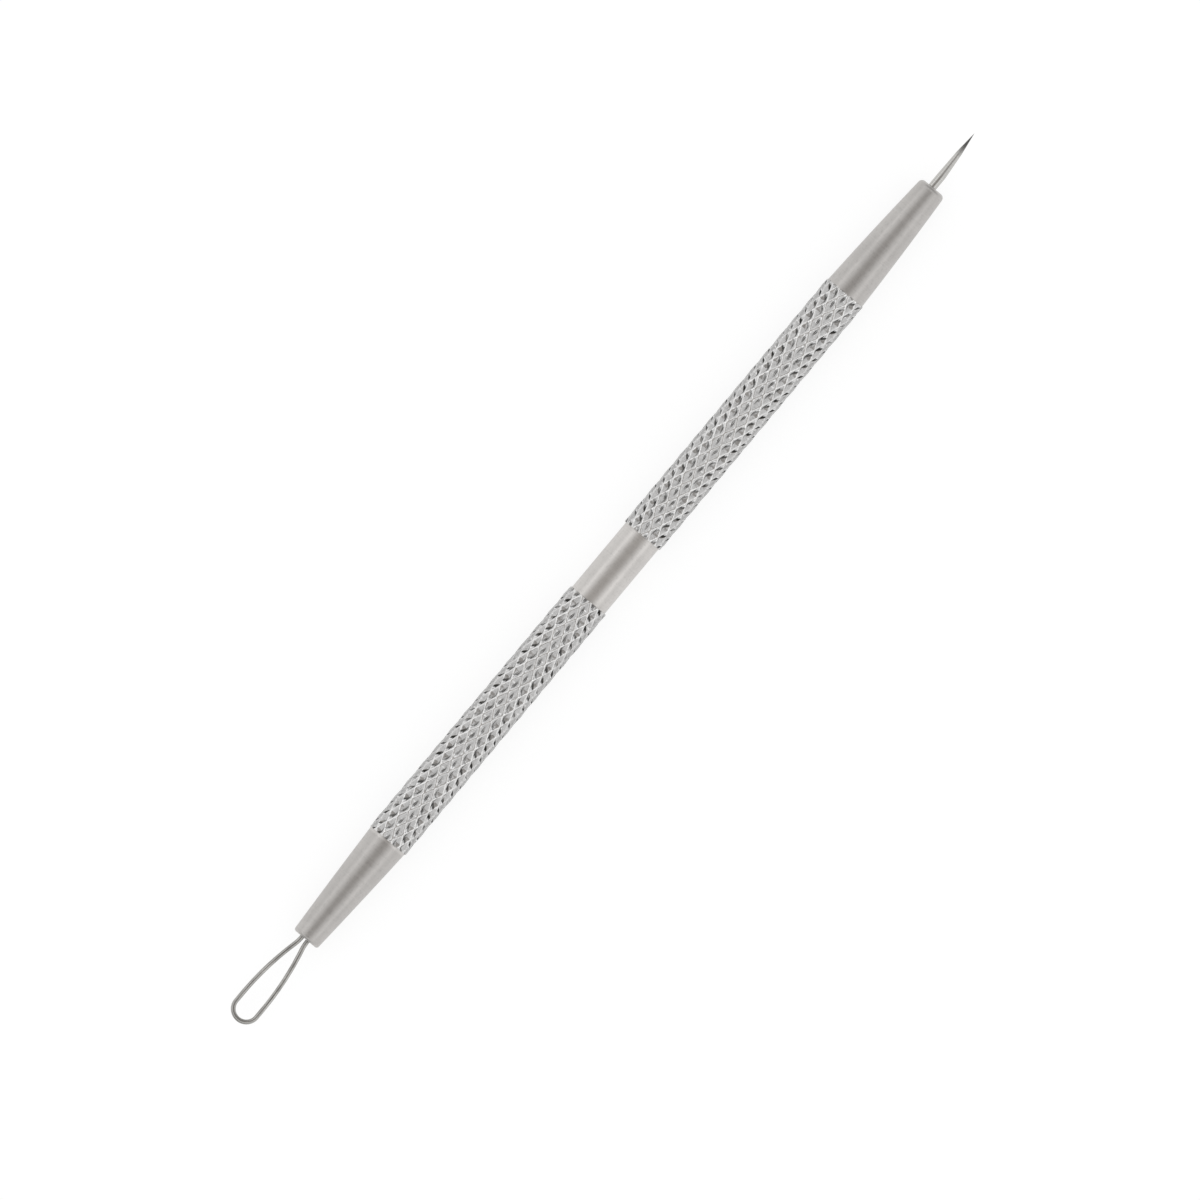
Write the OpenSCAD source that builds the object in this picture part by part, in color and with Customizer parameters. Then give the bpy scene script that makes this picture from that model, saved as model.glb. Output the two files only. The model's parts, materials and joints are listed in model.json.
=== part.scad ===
// Double-ended blackhead extractor: a knurled steel bar with a wire loop in one nose
// and a pointed lancet in the other, both soldered into blind bores.
// The tool lies along X on the plane z = 0, with the lancet towards +X and the loop flat.

/* [Handle] */
// Length of the tapered nose that holds the loop
loop_nose_len = 13.3; // [10:0.1:20]
// Length of the knurled grip next to the loop
loop_grip_len = 32.5; // [10:0.1:45]
// Length of the plain band between the two grips
band_len = 8.7; // [4:0.1:20]
// Length of the knurled grip next to the lancet
lancet_grip_len = 32.9; // [10:0.1:45]
// Length of the tapered nose that holds the lancet
lancet_nose_len = 14.2; // [10:0.1:20]
// Diameter of the plain band
band_d = 4.4; // [4:0.05:4.5]
// Diameter of a nose where it meets the knurling
nose_root_d = 4.54; // [4.2:0.02:4.6]
// Diameter of the end face of the loop's nose, measured before its edge is rounded
loop_nose_d = 3.12; // [2.8:0.02:4]
// Diameter of the end face of the lancet's nose, measured before its edge is rounded
lancet_nose_d = 3.08; // [2.8:0.02:4]
// How far the loop's nose swells past a straight taper at mid length
loop_nose_swell = 0.03; // [0:0.01:0.1]
// How far the lancet's nose swells past a straight taper at mid length
lancet_nose_swell = 0.06; // [0:0.01:0.1]
// Radius of the rounded edge at the loop's nose
loop_nose_edge = 0.3; // [0.1:0.05:0.5]
// Radius of the rounded edge at the lancet's nose
lancet_nose_edge = 0.5; // [0.1:0.05:0.6]

/* [Knurl] */
// Diameter over the crests of the ridges
crest_d = 4.8; // [4.7:0.05:5.2]
// Depth of a pit below the crests
pit_depth = 0.32; // [0.15:0.01:0.4]
// Ridges of each hand round the bar
ridge_starts = 13; // [9:1:19]
// Distance along the bar from one crossing to the next
knurl_pitch = 2.3; // [1.6:0.05:3]
// Distance from the start of the loop's grip to its first row of crossings
loop_grip_first = 0.37; // [0.2:0.01:1.2]
// Distance from the start of the lancet's grip to its first row of crossings
lancet_grip_first = 0.97; // [0.2:0.01:1.2]
// Length of the plain lip at each end of a grip
lip_len = 0.1; // [0.05:0.05:0.5]

/* [Wire loop] */
// Diameter of the wire
wire_d = 0.52; // [0.4:0.01:0.7]
// Reach of the loop from the nose's end face to the outside of its bend
loop_reach = 11.1; // [9:0.1:16]
// Width over the outside of the loop at its widest
loop_w = 3.24; // [2.6:0.02:4.5]
// Clear gap between the two legs where they leave the nose
leg_gap = 0.22; // [0.1:0.01:0.4]
// Length of the stretch where the legs run parallel before the end bend
parallel_len = 0.95; // [0.2:0.05:2]
// Centreline radius of the bend where each leg leaves the nose
mouth_bend_r = 5; // [2:0.5:8]
// Length of each leg inside the bore
leg_tail_len = 7; // [4:0.5:9]
// Sideways offset of the loop's bore from the bar's axis
loop_offset = 0.06; // [-0.2:0.02:0.2]

/* [Lancet] */
// Diameter of the lancet's shank
shank_d = 0.95; // [0.7:0.01:1.2]
// Length of the lancet outside its nose
lancet_out = 7.1; // [6:0.1:12]
// Length of the shank inside the bore
shank_tail_len = 8; // [4:0.5:9.5]
// Length of the steep point
point_len = 2.7; // [1.5:0.1:3.5]
// Diameter of the ground taper where the steep point starts
point_d = 0.62; // [0.5:0.01:0.64]
// Length of the point and the slower taper behind it together
taper_len = 5.6; // [4.5:0.1:5.8]
// Sideways offset of the tip from the shank's axis
tip_offset = 0.22; // [0:0.01:0.24]
// Sideways offset of the lancet's bore from the bar's axis
lancet_offset = 0.1; // [-0.2:0.02:0.2]

/* [Solder] */
// Radial room in a bore round what it holds
solder_film = 0.06; // [0.03:0.01:0.1]
// Solder under the inner end of a leg or shank
solder_under = 0.5; // [0.2:0.1:1]
// Depth of the solder's face inside the mouth
solder_recess = 0.1; // [0:0.05:0.3]

/* [Hidden] */
$fn = 64;

// Facets round the wire, and steps along each kind of bend in it
wire_sides = 12;
mouth_steps = 3;
leg_steps = 8;
end_steps = 20;
// Steps along a nose, and round its edge
nose_steps = 6;
edge_steps = 5;
// How far a cutting tool runs past the face it cuts
past = 0.5;

handle_len = loop_nose_len + loop_grip_len + band_len + lancet_grip_len + lancet_nose_len;
total_len = loop_reach + handle_len + lancet_out;

// Places along X
loop_face_x = loop_reach - total_len / 2;
loop_grip_x = loop_face_x + loop_nose_len;
band_x = loop_grip_x + loop_grip_len;
lancet_grip_x = band_x + band_len;
lancet_nose_x = lancet_grip_x + lancet_grip_len;
lancet_face_x = lancet_nose_x + lancet_nose_len;

// The knurling has a crest and a pit at every other step round the bar,
// and a facet between two crests faces straight down.
crest_r = crest_d / 2;
pit_r = crest_r - pit_depth;
facets = 2 * ridge_starts;
facet_angle = 360 / facets;
axis_z = crest_r * cos(facet_angle / 2);
core_r = pit_r - 0.2;
lip_r = (crest_r + max(band_d, nose_root_d) / 2) / 2;

// Wire loop, in a plane with u outward from the nose's end face and y across
leg_y = (leg_gap + wire_d) / 2;
wide_y = (loop_w - wire_d) / 2;
end_u = loop_reach - wire_d / 2 - wide_y;
wide_u = end_u - parallel_len;
leg_angle = 2 * atan((wide_y - leg_y) / wide_u);
leg_r = wide_u / sin(leg_angle) - mouth_bend_r;

loop_bore_d = leg_gap + 2 * wire_d + 2 * solder_film;
loop_bore_len = leg_tail_len + solder_under;
lancet_bore_d = shank_d + 2 * solder_film;
lancet_bore_len = shank_tail_len + solder_under;

// Radius of a nose at the share s of its length, from its end face at 0 to its root at 1
function nose_r(s, end_d, swell) =
    (end_d + (nose_root_d - end_d) * s) / 2 + swell * 4 * s * (1 - s);

// Outline of a nose as [distance from the end face, radius]: rounded edge, then swelling taper
function nose_points(len, end_d, swell, edge) =
    let (edge_r = nose_r(edge / len, end_d, swell))
    concat(
        [for (i = [0:edge_steps - 1])
            let (a = 90 * i / edge_steps)
            [edge * (1 - cos(a)), edge_r - edge * (1 - sin(a))]],
        [for (i = [0:nose_steps])
            let (s = edge / len + (1 - edge / len) * i / nose_steps)
            [s * len, nose_r(s, end_d, swell)]]
    );

// Outline turned round so that the nose points along +X and ends at the given face
function facing_right(points, face_x) =
    [for (i = [len(points) - 1:-1:0]) [face_x - points[i][0], points[i][1]]];

function facing_left(points, face_x) =
    [for (p = points) [face_x + p[0], p[1]]];

// Half of the bar's lengthwise section, with a slim core inside each grip
function bar_outline() =
    concat(
        [[loop_face_x, 0]],
        facing_left(
            nose_points(loop_nose_len, loop_nose_d, loop_nose_swell, loop_nose_edge),
            loop_face_x
        ),
        [
            [loop_grip_x, core_r],
            [band_x, core_r],
            [band_x, band_d / 2],
            [lancet_grip_x, band_d / 2],
            [lancet_grip_x, core_r],
            [lancet_nose_x, core_r]
        ],
        facing_right(
            nose_points(lancet_nose_len, lancet_nose_d, lancet_nose_swell, lancet_nose_edge),
            lancet_face_x
        ),
        [[lancet_face_x, 0]]
    );

// Turns a section drawn along X about the bar's axis
module turned() {
    translate([0, 0, axis_z])
        rotate([0, 90, 0])
            rotate_extrude()
                rotate([0, 0, 90])
                    mirror([0, 1, 0])
                        children();
}

// A point of the knurling at x, in column i, which may lie between two columns
function at_column(x, i, r) =
    let (a = (i + 0.5) * facet_angle)
    [x, r * sin(a), r * cos(a)];

// A point on the straight ridge from the crest in column i to the one in column i + side
function on_ridge(x, i, side, share) =
    at_column(x, i, crest_r) * (1 - share) + at_column(x, i + side, crest_r) * share;

// Where the pattern is cut off, a share of a step past a row: in each column that has a crest in that row,
// the two ridges that leave it and the pit that opens between them, and in each other column its pit
function cut_ring(x, parity, share) = [
    for (i = [0:facets - 1])
        each (i + parity) % 2 == 0
            ? [
                on_ridge(x, i, -1, share),
                at_column(x, i, crest_r - pit_depth * share),
                on_ridge(x, i, 1, share)
            ]
            : [at_column(x, i, pit_r + pit_depth * share)]
];

// The same ring at another x, with every point at the lip's radius
function lip_ring(x, ring) =
    [for (p = ring) [x, p[1] * lip_r / norm([p[1], p[2]]), p[2] * lip_r / norm([p[1], p[2]])]];

// Where column i starts in a cut ring
function cut_slot(i, parity) = i % 2 == 0 ? 2 * i : (parity == 0 ? 2 * i + 1 : 2 * i - 1);

// Faces from a row of crossings, whose points start at row, to the cut ring that starts at cut
function cut_sides(row, cut, parity) = [
    for (i = [0:facets - 1])
        let (
            n = (i + 1) % facets,
            a = row + i,
            b = row + n,
            here = cut + cut_slot(i, parity),
            there = cut + cut_slot(n, parity)
        )
        each (i + parity) % 2 == 0
            ? [[a, b, there], [a, there, here + 2], [a, here + 2, here + 1]]
            : [[a, b, there], [a, there, here], [b, there + 1, there]]
];

// Faces between two rings of the same count
function ring_sides(near, far, count) = [
    for (k = [0:count - 1])
        let (n = (k + 1) % count)
        each [[near + k, near + n, far + n], [near + k, far + n, far + k]]
];

function reversed(faces) = [for (f = faces) [f[2], f[1], f[0]]];

// One knurled grip from x = 0, with its first row of crossings at x = first. The pattern runs on to both ends,
// where a plain lip closes it.
module knurled_grip(grip_len, first) {
    step = knurl_pitch / 2;
    rows = floor((grip_len - first - 2 * lip_len) / step);
    last = first + rows * step;
    near_share = min(0.9, max(0.1, (first - lip_len) / step));
    far_share = min(0.9, max(0.1, (grip_len - lip_len - last) / step));
    far_parity = (rows + 1) % 2;
    near_cut = cut_ring(lip_len, 1, near_share);
    far_cut = cut_ring(grip_len - lip_len, far_parity, far_share);
    cut = len(near_cut);
    row_points = [
        for (j = [0:rows])
            for (i = [0:facets - 1])
                at_column(first + j * step, i, (i + j + 1) % 2 == 0 ? crest_r : pit_r)
    ];
    points = concat(lip_ring(0, near_cut), near_cut, row_points, far_cut, lip_ring(grip_len, far_cut));
    row_start = 2 * cut;
    last_row = row_start + rows * facets;
    far_start = last_row + facets;
    row_sides = [
        for (j = [0:rows - 1])
            for (i = [0:facets - 1])
                let (
                    a = row_start + j * facets + i,
                    b = row_start + j * facets + (i + 1) % facets,
                    c = b + facets,
                    d = a + facets
                )
                each (i + j) % 2 == 1 ? [[a, b, c], [a, c, d]] : [[a, b, d], [b, c, d]]
    ];
    near_end = [for (k = [cut - 1:-1:0]) k];
    far_end = [for (k = [0:cut - 1]) far_start + cut + k];
    polyhedron(
        points,
        concat(
            ring_sides(0, cut, cut),
            reversed(cut_sides(row_start, cut, 1)),
            row_sides,
            cut_sides(last_row, far_start, far_parity),
            ring_sides(far_start, far_start + cut, cut),
            [near_end, far_end]
        )
    );
}

// A straight round solid along X on the tool's axis line, moved sideways by y
module rod(x, length, diameter, y = 0) {
    translate([x, y, axis_z])
        rotate([0, 90, 0])
            cylinder(d = diameter, h = length);
}

module handle() {
    color("lightslategray")
        difference() {
            union() {
                turned()
                    polygon(bar_outline());
                translate([loop_grip_x, 0, axis_z])
                    knurled_grip(loop_grip_len, loop_grip_first);
                translate([lancet_grip_x, 0, axis_z])
                    knurled_grip(lancet_grip_len, lancet_grip_first);
            }
            rod(loop_face_x - past, loop_bore_len + past, loop_bore_d, loop_offset);
            rod(lancet_face_x - lancet_bore_len, lancet_bore_len + past, lancet_bore_d, lancet_offset);
        }
}

// Stations along the upper half of the loop's centreline, as [u, y, heading]
function upper_stations() =
    concat(
        [[-leg_tail_len, leg_y, 0]],
        [for (i = [0:mouth_steps - 1])
            let (a = leg_angle * i / mouth_steps)
            [mouth_bend_r * sin(a), leg_y + mouth_bend_r * (1 - cos(a)), a]],
        [for (i = [0:leg_steps])
            let (a = leg_angle * (1 - i / leg_steps))
            [wide_u - leg_r * sin(a), wide_y - leg_r * (1 - cos(a)), a]],
        [for (i = [0:end_steps / 2 - 1])
            let (a = 180 * i / end_steps)
            [end_u + wide_y * sin(a), wide_y * cos(a), -a]]
    );

// The lower half is the upper one mirrored and walked back
function loop_stations() =
    let (upper = upper_stations())
    concat(
        upper,
        [[end_u + wide_y, 0, -90]],
        [for (i = [len(upper) - 1:-1:0]) [upper[i][0], -upper[i][1], -180 - upper[i][2]]]
    );

// One bent wire, its round section carried along the stations
module wire_loop() {
    stations = loop_stations();
    count = len(stations);
    points = [
        for (s = stations)
            for (k = [0:wire_sides - 1])
                let (
                    a = 360 * k / wire_sides,
                    across = wire_d / 2 * cos(a)
                )
                [s[0] - across * sin(s[2]), s[1] + across * cos(s[2]), wire_d / 2 * sin(a)]
    ];
    sides = [
        for (j = [0:count - 2])
            for (k = [0:wire_sides - 1])
                let (
                    a = j * wire_sides + k,
                    b = j * wire_sides + (k + 1) % wire_sides
                )
                each [[a, b, b + wire_sides], [a, b + wire_sides, a + wire_sides]]
    ];
    first_end = [for (k = [wire_sides - 1:-1:0]) k];
    last_end = [for (k = [0:wire_sides - 1]) (count - 1) * wire_sides + k];
    color("gray")
        translate([loop_face_x, loop_offset, axis_z])
            mirror([1, 0, 0])
                polyhedron(points, concat(sides, [first_end, last_end]));
}

// The shape that the grinding leaves room for: a two-stage cone whose axis leans to the tip
module ground_envelope() {
    reach = lancet_out + shank_tail_len + past;
    lean = atan(tip_offset / taper_len);
    slope = (shank_d - point_d) / 2 / (taper_len - point_len);
    clear_len = taper_len + 1;
    translate([lancet_face_x + lancet_out, lancet_offset + tip_offset, axis_z])
        rotate([0, 0, lean])
            rotate([0, -90, 0])
                rotate_extrude()
                    polygon([
                        [0, 0],
                        [point_d / 2, point_len],
                        [shank_d / 2 + slope, clear_len],
                        [shank_d, clear_len],
                        [shank_d * 2, reach],
                        [0, reach]
                    ]);
}

module lancet() {
    color("darkgray")
        intersection() {
            rod(lancet_face_x - shank_tail_len, shank_tail_len + lancet_out, shank_d, lancet_offset);
            ground_envelope();
        }
}

module loop_solder() {
    leg_x = loop_face_x - past;
    color("dimgray")
        difference() {
            rod(loop_face_x + solder_recess, loop_bore_len - solder_recess, loop_bore_d, loop_offset);
            for (side = [-1, 1])
                rod(leg_x, leg_tail_len + past, wire_d, loop_offset + side * leg_y);
        }
}

module lancet_solder() {
    bore_x = lancet_face_x - lancet_bore_len;
    color("dimgray")
        difference() {
            rod(bore_x, lancet_bore_len - solder_recess, lancet_bore_d, lancet_offset);
            rod(lancet_face_x - shank_tail_len, shank_tail_len + past, shank_d, lancet_offset);
        }
}

handle();
wire_loop();
lancet();
loop_solder();
lancet_solder();
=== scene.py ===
"""Looks of a double-ended blackhead extractor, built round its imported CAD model.

A knurled steel bar holds a wire loop in one tapered nose and a pointed lancet in the other, both soldered
into blind bores. The tool lies along X on the plane z = 0. Everything is in metres, in the CAD's frame.
"""
import json
from math import atan, cos, floor, pi, radians, sin, sqrt

import bpy
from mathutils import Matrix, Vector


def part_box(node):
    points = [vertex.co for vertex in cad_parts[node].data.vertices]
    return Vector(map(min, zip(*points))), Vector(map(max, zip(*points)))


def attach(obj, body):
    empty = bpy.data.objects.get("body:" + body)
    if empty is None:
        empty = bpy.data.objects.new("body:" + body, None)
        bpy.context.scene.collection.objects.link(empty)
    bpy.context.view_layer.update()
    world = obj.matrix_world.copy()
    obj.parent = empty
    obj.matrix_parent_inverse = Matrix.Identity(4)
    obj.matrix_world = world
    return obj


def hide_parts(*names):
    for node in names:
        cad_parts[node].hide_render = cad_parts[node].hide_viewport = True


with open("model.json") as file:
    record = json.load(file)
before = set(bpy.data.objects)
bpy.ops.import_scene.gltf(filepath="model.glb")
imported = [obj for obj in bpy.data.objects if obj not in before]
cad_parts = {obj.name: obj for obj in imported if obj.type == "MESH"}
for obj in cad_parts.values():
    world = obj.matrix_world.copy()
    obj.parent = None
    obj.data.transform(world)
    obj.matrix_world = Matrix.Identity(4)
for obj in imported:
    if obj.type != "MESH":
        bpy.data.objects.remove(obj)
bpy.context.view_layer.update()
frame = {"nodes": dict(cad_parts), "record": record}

bl_info = {
    "name": "Loop and Lancet Extractor",
    "version": (1, 0, 0),
    "blender": (4, 5, 0),
    "location": "View3D > Sidebar > Extractor",
    "description": "Builds the pieces, finishes and studio of a double-ended blackhead extractor",
    "category": "Object",
}

MM = 0.001

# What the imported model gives
BAR_LOW, BAR_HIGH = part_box("handle")
MOUNTS = {mount["name"]: mount for mount in frame["record"]["mounts"]}
BAND_X, _, AXIS_Z = MOUNTS["band"]["pos_m"]
SLOT_COLOURS = {slot["slot"]: slot["base_color"] for slot in frame["record"]["materials"]}

# Columns of the bar for each ridge start, and rows between two rows of crossings
FINE = 10
# Steps of the other meshes
NOSE_ROWS = 26
EDGE_ROWS = 8
BAND_ROWS = 16
MOUTH_STEPS = 8
LEG_STEPS = 40
END_STEPS = 28
WIRE_SIDES = 28
LANCET_SIDES = 64
LANCET_ROWS = 26
# How far behind the lancet's tip the rows of its point lie, in millimetres
TIP_ROWS_MM = (0.04, 0.1, 0.2, 0.35, 0.5, 0.7, 0.9, 1.1, 1.3, 1.5, 1.7, 1.9, 2.1, 2.3, 2.5, 2.6)

# An edge between faces that turn by more than this is drawn sharp
SHARP_ANGLE = radians(50.0)

# Waves a metre in which the ridges stray, the pits differ in depth, the marks of painted shade stray, and
# the marks and the painted highlights come and go in patches
RIDGE_STRAY = 900.0
PIT_VARIETY = 480.0
MARK_STRAY = 700.0
MARK_PATCHES = 1100.0

# The room that a mark may stray in, half of it to each side
STRAY_ALONG = 0.25 * MM
STRAY_ACROSS = 0.12 * MM

# The noses' painted shade sets in between these distances from the band's middle
NOSE_SHADE_START = 37.0 * MM
NOSE_SHADE_END = 37.2 * MM

# Along the tool, the hood goes from its middle's light to its ends' between these slopes off the vertical
HOOD_SLOPES = (0.17, 0.4)
# The tent darkens where the part of a direction that points along the tool is between these
TENT_SHARES = (0.55, 0.95)
# Added to the floor's light as the camera and the metal see it, because the lit paint falls short of white
FLOOR_LIFT = 0.06


def length(name, text, millimetres):
    """A length property, with its default written in millimetres."""
    return bpy.props.FloatProperty(
        name=name,
        description=text,
        default=millimetres * MM,
        unit="LENGTH",
        subtype="DISTANCE",
        precision=5,
    )


def angle(name, text, degrees):
    """An angle property, with its default written in degrees."""
    return bpy.props.FloatProperty(
        name=name, description=text, default=radians(degrees), subtype="ANGLE"
    )


def share(name, text, default):
    """A property that runs from nothing to everything."""
    return bpy.props.FloatProperty(
        name=name, description=text, default=default, min=0.0, max=1.0, subtype="FACTOR"
    )


def colour(name, text, default):
    """A linear colour property."""
    return bpy.props.FloatVectorProperty(
        name=name, description=text, default=default, size=3, min=0.0, max=1.0, subtype="COLOR"
    )


class BarSizes(bpy.types.PropertyGroup):
    """Sizes of the turned bar."""

    loop_nose_len: length("Loop nose", "Length of the taper that holds the loop", 13.3)
    loop_grip_len: length("Loop grip", "Length of the knurling next to the loop", 32.5)
    band_len: length("Band", "Length of the plain band between the grips", 8.7)
    lancet_grip_len: length("Lancet grip", "Length of the knurling next to the lancet", 32.9)
    lancet_nose_len: length("Lancet nose", "Length of the taper that holds the lancet", 14.2)
    band_d: length("Band diameter", "Diameter of the plain band", 4.4)
    root_d: length("Root diameter", "Diameter of a nose where it meets the knurling", 4.54)
    loop_nose_d: length("Loop face diameter", "Diameter of the loop nose's end, edge not rounded", 3.12)
    lancet_nose_d: length(
        "Lancet face diameter", "Diameter of the lancet nose's end, edge not rounded", 3.08
    )
    loop_nose_swell: length("Loop nose swell", "How far this nose swells past a straight taper", 0.03)
    lancet_nose_swell: length("Lancet nose swell", "How far this nose swells past a straight taper", 0.06)
    loop_nose_edge: length("Loop edge", "Radius of the rounded edge at the loop's nose", 0.3)
    lancet_nose_edge: length("Lancet edge", "Radius of the rounded edge at the lancet's nose", 0.5)
    bore_chamfer: length("Bore chamfer", "Chamfer at the mouth of each bore", 0.03)


class KnurlSizes(bpy.types.PropertyGroup):
    """Sizes of the knurling."""

    starts: bpy.props.IntProperty(
        name="Ridge starts",
        description="Ridges of each hand round the bar",
        default=13,
        min=5,
        max=30,
    )
    pitch: length("Crossing pitch", "Distance along the bar from one crossing to the next", 2.3)
    crest_d: length("Crest diameter", "Diameter over the crests of the ridges", 4.8)
    depth: length("Pit depth", "Depth of a pit below the crests", 0.38)
    loop_first: length("Loop grip phase", "From the start of the loop's grip to its first crossings", 0.37)
    lancet_first: length(
        "Lancet grip phase", "From the start of the lancet's grip to its first crossings", 0.97
    )
    lip_len: length("Lip", "Length of the plain lip at each end of a grip", 0.1)
    crest_share: share("Crest width", "Share of the ridge spacing that the crest's top takes", 0.05)
    unevenness: share("Unevenness", "How much the depth of the pits varies", 0.45)
    wobble: share("Wobble", "How far the ridges stray, as a share of their spacing", 0.14)
    # The marks are dark spots of painted shade at the pits' floors, each with a bump of its own depth
    mark_len: length("Mark length", "Length of the torn mark at the bottom of each pit", 0.84)
    mark_width: length("Mark width", "Width of a mark at the bar's top and bottom", 0.17)
    mark_spread: share("Mark spread", "How much wider the marks are at the bar's two sides", 0.5)
    # Painted shade: the marks are painted fainter at the bar's top and bottom than at its sides
    mark_top_fade: share("Mark wear", "How much of the marks is rubbed off at the bar's top and bottom", 0.5)
    mark_lean: share("Mark lean", "Slope of a mark at the bar's sides, outwards from the band", 0.45)
    mark_shift: length("Mark shift", "From the middle of a pit to its mark, away from the band", 0.22)
    mark_depth: length("Mark depth", "Depth to which a mark is torn", 0.06)
    # The burrs are bright spots of painted highlight beside the marks
    glint_len: length("Burr length", "Length of the bright burr at a mark's outer end", 0.44)
    glint_width: length("Burr width", "Width of a burr across the bar", 0.3)
    glint_shift: length("Burr shift", "From the middle of a mark to its burr", 0.42)


class LoopSizes(bpy.types.PropertyGroup):
    """Sizes of the wire loop."""

    wire_d: length("Wire", "Diameter of the wire", 0.52)
    reach: length("Reach", "From the nose's end face to the outside of the bend", 11.1)
    width: length("Width", "Over the outside of the loop at its widest", 3.24)
    leg_gap: length("Leg gap", "Clear gap between the legs where they leave the nose", 0.22)
    parallel_len: length("Parallel stretch", "Where the legs run side by side before the end bend", 0.95)
    mouth_bend_r: length("Mouth bend", "Centreline radius of the bend where a leg leaves the nose", 5.0)
    tail_len: length("Tail", "Length of each leg inside the bore", 7.0)
    offset: length("Offset", "Sideways offset of the loop's bore from the bar's axis", 0.06)


class LancetSizes(bpy.types.PropertyGroup):
    """Sizes of the lancet."""

    shank_d: length("Shank", "Diameter of the shank", 0.95)
    out_len: length("Length outside", "Length of the lancet outside its nose", 7.1)
    tail_len: length("Tail", "Length of the shank inside the bore", 8.0)
    point_len: length("Point", "Length of the steep point", 2.7)
    point_d: length("Point diameter", "Diameter where the steep point starts", 0.62)
    taper_len: length("Ground length", "Length of the point and the slower taper behind it", 5.6)
    tip_offset: length("Tip offset", "Sideways offset of the tip from the shank's axis", 0.22)
    offset: length("Offset", "Sideways offset of the lancet's bore from the bar's axis", 0.1)


class SolderSizes(bpy.types.PropertyGroup):
    """Room for the solder in the bores."""

    film: length("Film", "Radial room in a bore round what it holds", 0.06)
    under: length("Under the end", "Solder under the inner end of a leg or shank", 0.5)


class Finishes(bpy.types.PropertyGroup):
    """Colours of the finishes, with painted shade and painted highlights among them."""

    steel: colour("Turned steel", "The noses and the band", SLOT_COLOURS["handle_steel"])
    crest: colour("Knurl crests", "Ridge tops", (0.77, 0.765, 0.76))
    pit: colour("Knurl pits", "Flanks of the pits", (0.58, 0.575, 0.57))
    # Painted shade: the knurling's colour is darkened at the bar's two sides
    painted_side_shade: share("Side shade", "How much darker the knurling is at the bar's two sides", 0.22)
    # Painted shade: the near-black colour of the marks painted at the pits' floors
    mark: colour("Knurl marks", "The torn metal at the bottoms of the pits", (0.035, 0.034, 0.032))
    # Painted highlight: the near-white colour painted beside the marks
    painted_glint: colour("Knurl burrs", "Bright burrs beside the marks", (0.95, 0.95, 0.95))
    speck: colour("Knurl specks", "Small dark specks all over the knurling", (0.12, 0.118, 0.115))
    specks: share("Strength of the specks", "How strongly the specks show", 0.3)
    # Painted shade: the noses' colour is darkened against the band's
    painted_nose_shade: share("Nose shade", "How much darker the noses are than the band", 0.15)
    wire: colour("Wire", "The drawn wire of the loop", SLOT_COLOURS["wire_steel"])
    lancet: colour("Lancet", "The ground and polished lancet", SLOT_COLOURS["lancet_steel"])
    solder: colour("Solder", "The dull solder in the bores", SLOT_COLOURS["solder"])


class Studio(bpy.types.PropertyGroup):
    """The floor, the light tent, its lamps and the camera."""

    floor_size: length("Floor size", "Side of the square floor", 2400.0)
    floor_glow: share("Floor glow", "Share of the floor's white that doesn't need the lamps", 0.74)
    tent: colour("Tent", "Light of the tent's walls", (0.9, 0.9, 0.9))
    tent_ends: share("Tent ends", "How much darker the tent is past the two ends of the tool", 0.65)
    hood: colour("Hood", "Light of the camera's hood over the tool's middle", (0.5, 0.48, 0.46))
    hood_ends: colour("Hood ends", "Light of the hood over the tool's ends", (0.24, 0.223, 0.21))
    hood_height: length("Hood height", "From the floor to the camera's hood", 175.0)
    hood_core: length("Hood core", "Radius within which the hood is all dark", 74.0)
    hood_radius: length("Hood radius", "Radius at which the hood's dark ends", 113.0)
    lamp_angle: angle("Lamp angle", "Angle of each soft box off the vertical", 53.4)
    lamp_distance: length("Lamp distance", "From the tool to each soft box", 306.0)
    lamp_length: length("Lamp length", "Length of a soft box along the tool", 164.0)
    lamp_width: length("Lamp width", "Width of a soft box", 61.0)
    lamp_light: share("Lamp light", "How bright a soft box looks, where 1 is white", 0.75)
    view_height: length("View height", "From the floor to the camera", 500.0)
    view_width: length("View width", "Width that the camera sees", 124.51)
    view_turn: angle("View turn", "Turn of the camera about the vertical", -50.13)
    view_x: length("View X", "Place of the picture's middle along the tool", -2.196)
    view_y: length("View Y", "Place of the picture's middle across the tool", -0.905)


class Value:
    """A number that a node gives out. Python's operators on it add Math nodes."""

    def __init__(self, bench, output):
        self.bench = bench
        self.output = output

    def __add__(self, other):
        return self.bench.math("ADD", self, other)

    __radd__ = __add__

    def __sub__(self, other):
        return self.bench.math("SUBTRACT", self, other)

    def __rsub__(self, other):
        return self.bench.math("SUBTRACT", other, self)

    def __mul__(self, other):
        return self.bench.math("MULTIPLY", self, other)

    __rmul__ = __mul__

    def __truediv__(self, other):
        return self.bench.math("DIVIDE", self, other)

    def __rtruediv__(self, other):
        return self.bench.math("DIVIDE", other, self)

    def __abs__(self):
        return self.bench.math("ABSOLUTE", self)

    def clamped(self):
        """The number, kept between 0 and 1."""
        return self.bench.math("MINIMUM", self.bench.math("MAXIMUM", self, 0.0), 1.0)


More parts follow.
